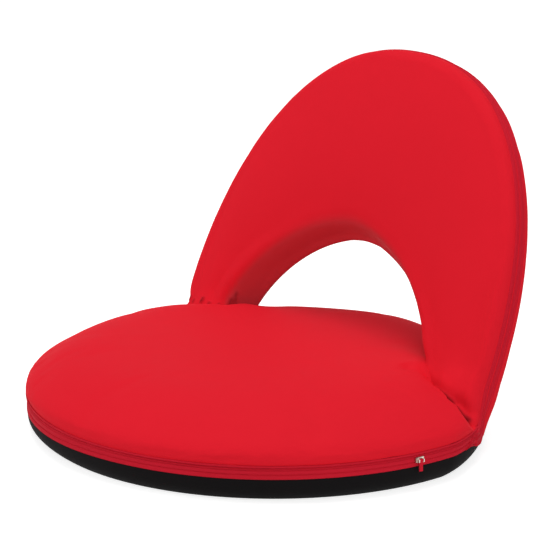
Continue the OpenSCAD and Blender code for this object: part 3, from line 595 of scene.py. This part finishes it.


# a soft dimple, nicks and ridges where the cloth is caught at the right leg, placed where the photo shows
# them; a dark one gets painted shade along it: (path, depth, width, dark)
seatFolds = [([(138, 44, 79), (158, 51, 74), (174, 56, 64)], -4.5, 11.0, False),
             ([(177, 57, 63), (183, 57, 61), (189, 55.5, 62)], -5.0, 4.0, True),
             ([(190, 55.5, 62), (198, 54, 60), (205, 53, 57), (211, 52, 51)], -4.0, 3.2, True),
             ([(206, 52, 54), (211, 51.5, 50.5), (216, 50, 49)], -5.0, 4.5, True),
             ([(213, 51, 50), (223, 50, 47), (238, 47.5, 46)], -5.0, 3.0, True),
             ([(184, 46, 66), (196, 44, 62), (206, 43, 58)], 2.5, 7.0, False),
             ([(214, 42, 56), (223, 34, 56), (234, 26, 50), (243, 20, 44)], 2.5, 7.0, False),
             ([(196, 26, 72), (214, 20, 66), (232, 14, 56)], -1.2, 8.0, False)]
# streaks above the front seam: (start and length in degrees, height, depth)
seamStreaks = [(-152, 26, 45, -0.9), (-128, 20, 44, 0.8), (-104, 30, 46, -1.0), (-77, 18, 43, -0.7),
               (-60, 14, 44, -1.0), (-38, 20, 45, 0.9), (-24, 12, 42, -1.4), (-14, 10, 43, -1.1)]
streak = dict(radius=258.0, points=9, wave=1.5, waveTurn=5.0, width=2.6, taper=0.4)


def foldSeatCover():
    for path, depth, width, dark in seatFolds:
        fold(seatCover, path, depth, width, dark=dark)
    for start, length, z, depth in seamStreaks:
        angles = np.radians(start + np.linspace(0, length, streak["points"]))
        heights = z + streak["wave"] * np.sin(np.linspace(0, streak["waveTurn"], streak["points"]) + start)
        x, y = streak["radius"] * np.cos(angles), streak["radius"] * np.sin(angles)
        fold(seatCover, np.column_stack([x, y, heights]), depth, streak["width"], streak["taper"])


seatCover, seatRim = buildSeatCover()
settle(seatCover, seatRim, dict(pulledCloth, keepFine=0.22))
subdivided(seatCover)
foldSeatCover()
print("seat cover", len(seatCover.data.vertices))


# swept side walls: a profile of (out, up) steps carried along an outline

def leftDrop(x):
    # the dark base's upper edge lies a little lower on the left
    return seatShape["leftDrop"] * smoothStep((seatShape["leftDropX"] - x) / seatShape["leftDropFade"])


def outward(line, closed=True):
    # the level direction out of a line that runs counterclockwise
    ahead = np.roll(line, -1, 0) - np.roll(line, 1, 0) if closed else np.gradient(line, axis=0)
    ahead /= np.linalg.norm(ahead, axis=1)[:, None]
    return np.stack([ahead[:, 1], -ahead[:, 0]], 1)


def wallStrip(name, line, profile, material, drop):
    out = outward(line, closed=False)
    points = []
    for offset, z in profile:
        flat = line + out * offset
        level = smoothStep((seatShape["seam"] - z) / (seatShape["seam"] - seatShape["baseTop"]))
        lower = leftDrop(flat[:, 0]) * level if drop else 0
        points.append(np.column_stack([flat, np.full(len(line), float(z)) - lower]))
    return meshObject(name, np.vstack(points), gridFaces(len(profile), len(line)), material)


# from the seam at the cushion down to the dark base: (out, height)
gussetProfile = [(-1.5, 37.0), (-0.9, 37.7), (0.2, 38.0), (1.2, 37.6), (1.5, 36.9), (1.2, 36.2), (-0.2, 35.8),
                 (-1.0, 35.3), (-0.2, 34.8), (0.8, 34.4), (0.9, 33.9), (0.2, 33.5), (-0.9, 33.1), (0.1, 32.7),
                 (0.4, 32.0), (0.4, 31.0), (0.4, 29.8), (0.1, 29.1), (-0.9, 28.8), (0.0, 28.4), (0.6, 28.0),
                 (0.6, 27.0), (0.6, 25.6), (0.6, 24.7), (0.1, 24.1), (-1.2, 24.0)]
sideWall = dict(points=720, rearPoints=900, frontEnd=62.0, rearStart=84.0)
seatLine = evenly(outlinePoints(outlineSteps, outlineRadius), sideWall["points"])


def frontPart(line, limitY):
    # the part of a closed line with y below the limit, from the left side to the right
    keep = line[:, 1] < limitY
    start = next(k for k in range(len(line)) if keep[k] and not keep[k - 1])
    order = [(start + k) % len(line) for k in range(int(keep.sum()))]
    return line[order]


seatGusset = wallStrip("seatGusset", frontPart(seatLine, sideWall["frontEnd"]), gussetProfile, redTrim, True)
rearLine = evenly(outlinePoints(outlineSteps, notchedRadius), sideWall["rearPoints"])
rearLine = rearLine[rearLine[:, 1] > sideWall["rearStart"]]
seatRearGusset = wallStrip("seatRearGusset", rearLine, gussetProfile, redTrim, False)

# (out, height): the upper edge, then the side by a formula, then the rings underneath
basePan = dict(upperEdge=[(-3.0, 23.9), (-0.9, 24.0), (-0.2, 23.8), (0.0, 23.2)], steps=14, sideTop=22.6,
               undercut=14.0, undercutPower=2.6, normalReach=20.0, middleZ=0.6,
               under=[(-16.5, 0.0), (-30.0, 0.4), (-80.0, 0.6), (-160.0, 0.6)])


def buildBase():
    profile = list(basePan["upperEdge"])
    for k in range(basePan["steps"] + 1):
        t = k / basePan["steps"]
        # bulges out from the floor like the CAD base
        profile.append((-basePan["undercut"] * t ** basePan["undercutPower"], basePan["sideTop"] * (1 - t)))
    out = outward(seatLine)
    rings = []
    for offset, z in profile + basePan["under"]:
        # far in, the outline shrinks instead of stepping inwards
        near = offset > -basePan["normalReach"]
        flat = seatLine + out * offset if near else seatLine * (1 + offset / seatShape["reach"])
        lower = leftDrop(flat[:, 0]) * smoothStep(z / seatShape["baseTop"])
        rings.append(np.column_stack([flat, z - lower]))
    cols = len(seatLine)
    points = np.vstack(rings + [[[0, 0, basePan["middleZ"]]]])
    faces = gridFaces(len(rings), cols, closedCols=True)
    last = (len(rings) - 1) * cols
    faces += [[last + k, last + (k + 1) % cols, len(points) - 1] for k in range(cols)]
    return meshObject("baseCover", points, faces, blackFabric)


baseCover = buildBase()

# the right half of the seat's outline, from front to rear
rightSide = seatLine[seatLine[:, 0] > 0]
rightSide = rightSide[np.argsort(rightSide[:, 1])]
outlineTableX, outlineTableY = rightSide[:, 0], rightSide[:, 1]
ledge = dict(rows=34, cols=12, front=6.0, rear=152.0, inner=144.0, proud=0.3, inside=5.0, insideY=50.0,
             insideFade=6.0, height=25.6, crown=1.2, hem=1.8)


def buildLedge():
    # red cloth over the base, where the legs stand and on under the cushion
    rows, cols = ledge["rows"], ledge["cols"]
    points, faces = [], []
    for side in (-1, 1):
        first = len(points)
        for y in np.linspace(ledge["front"], ledge["rear"], rows):
            edge = outlineTableX[np.argmin(np.abs(outlineTableY - y))] + ledge["proud"]
            edge -= ledge["inside"] * smoothStep((ledge["insideY"] - y) / ledge["insideFade"])
            for k in range(cols):
                t = k / (cols - 1)
                z = ledge["height"] + ledge["crown"] * math.sin(math.pi * t) - (ledge["hem"] if t == 1 else 0)
                points.append((side * (ledge["inner"] + (edge - ledge["inner"]) * t), y, z))
        faces += [[first + i for i in f] for f in gridFaces(rows, cols, flip=side < 0)]
    return meshObject("ledgeCover", points, faces, redFabric)


ledgeCover = buildLedge()
print("seat walls ready")


# back: closed sections carried along the arch, from one leg's foot to the other

def archPoint(t, half, base, height, power):
    # t 1 where the arch starts, 2 at its top
    start = math.asin(((backShape["startV"] - base) / height) ** (power / 2))
    turn = start + (t - 1) * (math.pi / 2 - start)
    return (half * max(0, math.cos(turn)) ** (2 / power), base + height * math.sin(turn) ** (2 / power))


def archHalf(half, base, height, power):
    # one half at even steps, from the leg to the top
    steps = np.linspace(1, 2, backShape["archTable"])
    fine = np.array([archPoint(t, half, base, height, power) for t in steps])
    return evenly(fine, backShape["archStations"] + 1, closed=False)


outerHalf = archHalf(backShape["halfWidth"], backShape["wideV"], backShape["height"], backShape["power"])
openingHalf = archHalf(backShape["openHalf"], 0.0, backShape["openHeight"], backShape["openPower"])


def footLine(d, share):
    # where the cover ends: on the ledge, and lower down on the outer side
    drop = smoothStep((backShape["hemShare"] - share) / backShape["hemFade"])
    z = backShape["lowZ"] - (backShape["lowZ"] - backShape["hemZ"]) * drop
    rise = z - backShape["hingeZ"] + (d - backShape["hingeDepth"]) * math.sin(backShape["lean"])
    return rise / math.cos(backShape["lean"])


def lowOuterX(d, v):
    # the leg's outer side runs down to the base's own outline
    place = inBack(0.0, d, v)
    edge = np.interp(place[..., 1], outlineTableY, outlineTableX) + backShape["lowProud"]
    t = smoothStep((backShape["startV"] - v) / (backShape["startV"] + backShape["lowBelow"]))
    wide = outerHalf[0][0] + backShape["lowSwell"] * np.sin(math.pi * np.clip(t, 0, 1))
    return (1 - t) * wide + t * np.clip(edge, backShape["lowLeast"], backShape["lowMost"])


# from the front face into the hand opening and out on the rear face: (across, depth)
openingLip = [(-34, 0), (-29.5, 0.2), (-25, 1.2), (-21, 3), (-17.5, 6), (-14.5, 10), (-12, 14.5),
              (-9.8, 19), (-7.8, 23.5), (-5.8, 28), (-3.6, 32), (-1.6, 35.5), (-0.8, 38.5), (-3, 41),
              (-7, 42.5), (-12, 43)]


def backPlace(points):
    # depth behind the front face and height up the back
    ca, sa = math.cos(backShape["lean"]), math.sin(backShape["lean"])
    front, up = points[:, 1] - backShape["hingeY"], points[:, 2] - backShape["hingeZ"]
    return front * ca - up * sa + backShape["hingeDepth"], front * sa + up * ca


# the left leg's cover is gathered in just above the seat
gather = dict(pull=10.0, height=11.0, reach=12.0, fromX=150.0, fade=60.0, foldWidth=2.4, foldTaper=0.3)
# the leg's cover swells over the hinge inside it
hingeLump = dict(lift=7.0, x=194.0, width=34.0, top=36.0, topFade=34.0, depth=20.0, depthFade=14.0)


def leftPull(points):
    _, v = backPlace(points)
    return gather["pull"] * np.exp(-((v - gather["height"]) / gather["reach"]) ** 2)


def sectionShape(width):
    # one closed section as (across, depth), from the front seam round the front face and back behind
    b = backShape
    pts = []
    for k in range(b["roundSteps"] + 1):
        a = math.pi / 2 * k / b["roundSteps"]
        across = b["outerRound"] * (1 - math.cos(a)) ** b["roundAcross"]
        pts.append((across, b["seamFront"] * (1 - math.sin(a)) ** b["roundDepth"]))
    first, last = b["outerRound"], width + openingLip[0][0]
    for k in range(1, b["faceSteps"]):
        t = k / b["faceSteps"]
        pts.append((first + (last - first) * t, -b["crown"] * width * 4 * t * (1 - t)))
    rear = [(q, b["thick"] - d) for q, d in pts[::-1]]
    # the point on the lip that the cloth simulation holds
    pin = len(pts) + b["lipPin"]
    return np.array(pts + [(width + q, d) for q, d in openingLip] + rear + [(0.0, b["thick"] / 2)]), pin


def openingEdge(place, side):
    # the opening lies a little to the left of the middle, and the right leg is the wider one
    x, v = place
    fade = smoothStep(v / (backShape["openFade"] if side > 0 else 0.5 * backShape["openFade"]))
    return np.array([x - fade * (side * backShape["openShift"] + backShape["openNarrow"] * x), v])


def legSections(side):
    # from a leg's foot to the top of the arch, as on the right
    found = []
    foot, opening = outerHalf[0], openingEdge(openingHalf[0], side)
    width = float(np.linalg.norm(foot - opening))
    shape, _ = sectionShape(width)
    share = shape[:, 0] / width
    for k in range(backShape["lowStations"]):
        up = k / backShape["lowStations"]
        v = (1 - up) * footLine(shape[:, 1], share) + up * backShape["startV"]
        outX = lowOuterX(shape[:, 1], v)
        inX = np.full_like(outX, backShape["openHalf"] + 1.0) * (1 - up) + opening[0] * up
        found.append(inBack(outX + (inX - outX) * share, shape[:, 1], v))
    for outer, place in zip(outerHalf, openingHalf):
        inner = openingEdge(place, side)
        width = float(np.linalg.norm(outer - inner))
        shape, _ = sectionShape(width)
        across = outer + np.outer(shape[:, 0], (inner - outer) / width)
        found.append(inBack(across[:, 0], shape[:, 1], across[:, 1]))
    return found


def buildBack():
    right, left = legSections(1), legSections(-1)
    for section in right + left:
        depth, v = backPlace(section)
        lump = hingeLump["lift"] * np.exp(-((section[:, 0] - hingeLump["x"]) / hingeLump["width"]) ** 2)
        lump *= smoothStep((hingeLump["top"] - v) / hingeLump["topFade"])
        lump *= smoothStep((hingeLump["depth"] - depth) / hingeLump["depthFade"])
        section[:, 1] -= lump * math.cos(backShape["lean"])
        section[:, 2] += lump * math.sin(backShape["lean"])
    left = [section * np.array([-1, 1, 1]) for section in left[:-1]][::-1]
    for section in left:
        section[:, 0] += leftPull(section) * smoothStep((-section[:, 0] - gather["fromX"]) / gather["fade"])
    sections = np.array(right + left)
    rows, cols = sections.shape[:2]
    faces = gridFaces(rows, cols, closedCols=True)
    faces.append(list(range(cols))[::-1])
    faces.append([(rows - 1) * cols + k for k in range(cols)])
    obj = meshObject("backCover", sections.reshape(-1, 3), faces, redFabric)
    _, pin = sectionShape(backShape["halfWidth"])
    pinned = np.zeros((rows, cols), bool)
    pinned[:, 0] = pinned[:, pin] = True
    pinned[:, cols - 1] = pinned[:, cols - 2] = True
    pinned[:3] = pinned[-3:] = True
    return obj, pinned.ravel(), sections


def onFront(x, z, out):
    # a point over the front face at a height above the floor
    slope = math.tan(backShape["lean"])
    base = inBack(x, 0.0, 0.0)
    return (x, base[1] + (z - base[2]) * slope - out / math.cos(backShape["lean"]), z)


# the right leg's lip over the seat, with its tucks, placed where the photo shows them; a dark one gets
# painted shade along it: (path, depth, width, taper, dark)
backFolds = [([onFront(203, 60, 2), onFront(214, 54, 1), (226, 55, 50), (230, 62, 44)], 3.0, 7.0, 0.2, False),
             ([(184, 57, 61), (190, 55.5, 62), (198, 54, 60), (205, 53, 57), (211, 52, 51)],
              -3.0, 3.0, 0.2, True),
             ([(208, 52, 54), (211, 51.5, 50.5), (223, 50, 47), (238, 47.5, 46)], -5.0, 3.4, 0.15, True),
             ([onFront(176, 62, 4), onFront(184, 61, 7), onFront(190, 60, 7)], -4.0, 4.0, 0.3, False),
             ([onFront(205, 58, 4), onFront(202, 72, 3), onFront(200, 90, 2)], -1.0, 6.0, 0.4, False),
             ([onFront(190, 66, 6), onFront(188, 80, 4)], -0.8, 5.0, 0.4, False)]
# gathers at the foot of the left leg, each with painted shade along it: (across, depth, from height, to
# height, fold)
leftGathers = [(-150, 4, 12, 30, -2.6), (-144, 7, 12, 36, -3.0), (-139, 11, 12, 30, -2.6),
               (-163, 0, 10, 22, -1.8), (-176, 0, 10, 19, -1.6), (-186, 0, 10, 21, -1.8),
               (-199, 1, 10, 18, -1.5), (-207, 3, 10, 20, -1.6)]


def foldBackCover():
    for path, depth, width, taper, dark in backFolds:
        fold(backCover, path, depth, width, taper, dark)
    for x, d, low, high, depth in leftGathers:
        path = [inBack(x, d, low), inBack(x, d, high)]
        fold(backCover, path, depth, gather["foldWidth"], gather["foldTaper"], dark=True)


# the painted shade starts behind the front face, near the opening's edge, and ends at the rear face
lining = dict(depth=3.0, depthFade=7.0, reach=30.0, reachFade=6.0, rear=40.0, rearFade=3.0,
              footLow=-40, footHigh=26, footStep=3)


def openingDistance(x, v):
    # from the hand opening's edge, in the plane of the back
    line = []
    for side in (1, -1):
        line += [openingEdge(at, side) * np.array([side, 1]) for at in openingHalf]
        line += [np.array([side * (backShape["openHalf"] + 1), low])
                 for low in range(lining["footLow"], lining["footHigh"], lining["footStep"])]
    found = np.full(len(x), np.inf)
    for at in line:
        found = np.minimum(found, np.hypot(x - at[0], v - at[1]))
    return found


def paintOpeningShade():
    # the wall of the hand opening is dark in the photo, and here it gets painted shade; that its cloth is
    # darker is a guess
    points = coordsOf(backCover)
    depth, v = backPlace(points)
    away = openingDistance(points[:, 0], v)
    share = smoothStep((depth - lining["depth"]) / lining["depthFade"])
    share *= smoothStep((lining["reach"] - away) / lining["reachFade"])
    share *= 1 - smoothStep((depth - lining["rear"]) / lining["rearFade"])
    painted(backCover, "lining", share)


backCover, backPinned, backSections = buildBack()
settle(backCover, backPinned, dict(pulledCloth, keepFine=0.3))
subdivided(backCover)
foldBackCover()
paintOpeningShade()
print("back cover", len(backCover.data.vertices))


# (y, z) of the strip's upper and lower edges where it turns from a leg into the seat's side
bendUpper = [(24, 24.6), (31, 26.5), (37, 30), (44, 33.5), (52, 35.2), (60, 36.8), (64.5, 39.2), (66.6, 41.4),
             (68.9, 46.4), (72.4, 54.5)]
bendLower = [(24, 24), (31, 24), (37, 23.5), (44, 22), (52, 19.5), (60, 17.5), (67, 17), (72, 19), (75.4, 24),
             (80.5, 35.7)]
# lowRows of the sections below the arch carry the strip; facePoint is a section's point on the front face
strip = dict(bendPoints=40, proud=0.3, lowRows=4, facePoint=18, fineness=5)


def seatBend(share, proud):
    count = strip["bendPoints"]
    upper, lower = (evenly(np.array(line, float), count, closed=False) for line in (bendUpper, bendLower))
    path = np.column_stack([np.zeros(count), upper + (lower - upper) * share])
    depth, v = backPlace(path)
    edge = np.interp(path[:, 1], outlineTableY, outlineTableX)
    path[:, 0] = np.maximum(lowOuterX(depth, v), edge) + proud + strip["proud"]
    return path


def backStrip(name, profile, material):
    # a strip along the outer edge, round the bends at both legs into the seat's side
    skip = backShape["lowStations"] - strip["lowRows"]
    sections = backSections[skip:-skip]
    # a section's last two points lie behind, on the rear seam and in the middle of the edge
    front, rear, middle = sections[:, 0], sections[:, -2], sections[:, -1]
    outwards = middle - sections[:, strip["facePoint"]]
    points = []
    count = len(backSections) * strip["fineness"]
    for share, proud in profile:
        line = front + (rear - front) * share
        out = np.cross(np.gradient(line, axis=0), rear - front)
        out /= np.linalg.norm(out, axis=1)[:, None]
        out *= np.sign(np.sum(out * outwards, axis=1))[:, None]
        bend = seatBend(share, proud)
        leftBend = bend[::-1] * np.array([-1, 1, 1])
        leftBend[:, 0] += leftPull(leftBend)
        points.append(evenly(np.vstack([bend, line + out * proud, leftBend]), count, closed=False))
    return meshObject(name, np.vstack(points), gridFaces(len(profile), count), material)


# from the front seam to the rear one, with the zip line between its two folds: (share of the depth, proud)
edgeProfile = [(-0.10, -1.2), (-0.05, -0.4), (-0.01, 0.3), (0.03, 1.3), (0.08, 1.5), (0.12, 1.1),
               (0.16, -0.6), (0.19, -1.1), (0.22, -0.4), (0.27, 0.5), (0.34, 0.5), (0.40, -0.5),
               (0.43, -1.0), (0.46, -0.3), (0.51, 1.1), (0.55, 1.1), (0.60, 0.3), (0.66, 0.2),
               (0.74, 0.3), (0.82, 0.3), (0.87, -0.7), (0.90, 0.3), (0.94, 0.9), (0.99, 0.5),
               (1.03, -0.4), (1.06, -1.2)]
backGusset = backStrip("backGusset", edgeProfile, redTrim)
print("strips ready")


# pieces that stay as the frame has them, with their own finish

def nodeFinish(name):
    if "webbing" in name:
        return strapFabric
    if "tube" in name or name.endswith("_bar"):
        return tubePaint
    return {"zip_slider": sliderMetal, "zip_pull": redTrim}.get(name, zincPlate)


for name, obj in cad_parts.items():
    obj.data.materials.clear()
    obj.data.materials.append(nodeFinish(name))

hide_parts("seat_top_cover", "seat_top_foam", "seat_core_foam")
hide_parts("seat_gusset", "seat_zip_chain")
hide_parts("base_cover", "base_pad")
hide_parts("ledge_cover")
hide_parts("back_front_cover", "back_rear_cover", "back_front_foam", "back_core_foam",
            "back_rear_foam", "back_opening_gusset", "left_boot", "right_boot")
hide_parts("back_gusset", "back_zip_chain")
for piece in (seatCover, seatGusset, seatRearGusset, baseCover, ledgeCover):
    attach(piece, "seat")


def alongBack(v):
    return tuple(float(c) * mm for c in inBack(0.0, backShape["hingeDepth"], v))


for piece in (backCover, backGusset):
    alongBack(-14)
    alongBack(24)
    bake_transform(piece)


# floor, light and camera

# lengths in metres
studio = dict(floorSize=14.0, floorDrop=0.0004, floorShade=0.7, floorRoughness=0.8, floorGlow=0.71,
              worldStrength=0.26)
lamps = {"rightLight": dict(place=(2.2, -1.9, 1.3), target=(0, 0, 0.2), size=(1.0, 1.0), power=22),
         "topLight": dict(place=(-0.3, 0.3, 3.0), target=(0, 0, 0), size=(2.0, 2.0), power=47),
         "leftLight": dict(place=(-1.9, -2.2, 1.1), target=(0, 0, 0.15), size=(1.2, 0.9), power=26),
         "sideLight": dict(place=(2.8, 0.3, 1.0), target=(0, 0, 0.15), size=(1.2, 1.4), power=16)}
lookout = dict(eye=(1.987, -1.816, 0.880), target=(0.0285, -0.0254, 0.1673), lens=177.04, sensor=36,
               clipEnd=50)


def seenBy(nodes, links, *rays):
    # 1 for any of these kinds of ray
    path = nodes.new("ShaderNodeLightPath")
    seen = path.outputs[rays[0]]
    for ray in rays[1:]:
        seen = mathNode(nodes, links, "ADD", seen, path.outputs[ray], clamp=True)
    return seen


def buildFloor():
    s = studio["floorSize"] / 2
    mesh = bpy.data.meshes.new("floor")
    mesh.from_pydata([(-s, -s, 0), (s, -s, 0), (s, s, 0), (-s, s, 0)], [], [(0, 1, 2, 3)])
    floor = bpy.data.objects.new("floor", mesh)
    scene.collection.objects.link(floor)
    floor.location.z = -studio["floorDrop"]
    material, shader = newMaterial("paleFloor", [studio["floorShade"]] * 3, studio["floorRoughness"])
    nodes, links = material.node_tree.nodes, material.node_tree.links
    shader.inputs["Emission Color"].default_value = (1, 1, 1, 1)
    seen = seenBy(nodes, links, "Is Camera Ray", "Is Glossy Ray")
    glow = mathNode(nodes, links, "MULTIPLY", seen, studio["floorGlow"])
    links.new(glow, shader.inputs["Emission Strength"])
    mesh.materials.append(material)


def buildWorld():
    world = bpy.data.worlds.new("studio")
    scene.world = world
    world.use_nodes = True
    nodes, links = world.node_tree.nodes, world.node_tree.links
    background = nodes["Background"]
    seen = seenBy(nodes, links, "Is Camera Ray", "Is Glossy Ray", "Is Transmission Ray")
    dim = studio["worldStrength"]
    strength = mathNode(nodes, links, "MULTIPLY_ADD", seen, 1 - dim, dim)
    background.inputs["Color"].default_value = (1, 1, 1, 1)
    links.new(strength, background.inputs["Strength"])


def aimed(obj, place, target):
    scene.collection.objects.link(obj)
    obj.location = place
    obj.rotation_euler = (Vector(target) - Vector(place)).to_track_quat("-Z", "Y").to_euler()


def buildLights():
    for name, lamp in lamps.items():
        light = bpy.data.lights.new(name, "AREA")
        light.shape = "RECTANGLE"
        light.size, light.size_y = lamp["size"]
        light.energy = lamp["power"]
        aimed(bpy.data.objects.new(name, light), lamp["place"], lamp["target"])


def buildCamera():
    camera = bpy.data.objects.new("camera", bpy.data.cameras.new("camera"))
    camera.data.lens = lookout["lens"]
    camera.data.sensor_width = lookout["sensor"]
    camera.data.clip_end = lookout["clipEnd"]
    aimed(camera, lookout["eye"], lookout["target"])
    scene.camera = camera


buildFloor()
buildWorld()
buildLights()
buildCamera()
scene.view_settings.view_transform = "Standard"
print("stage ready")
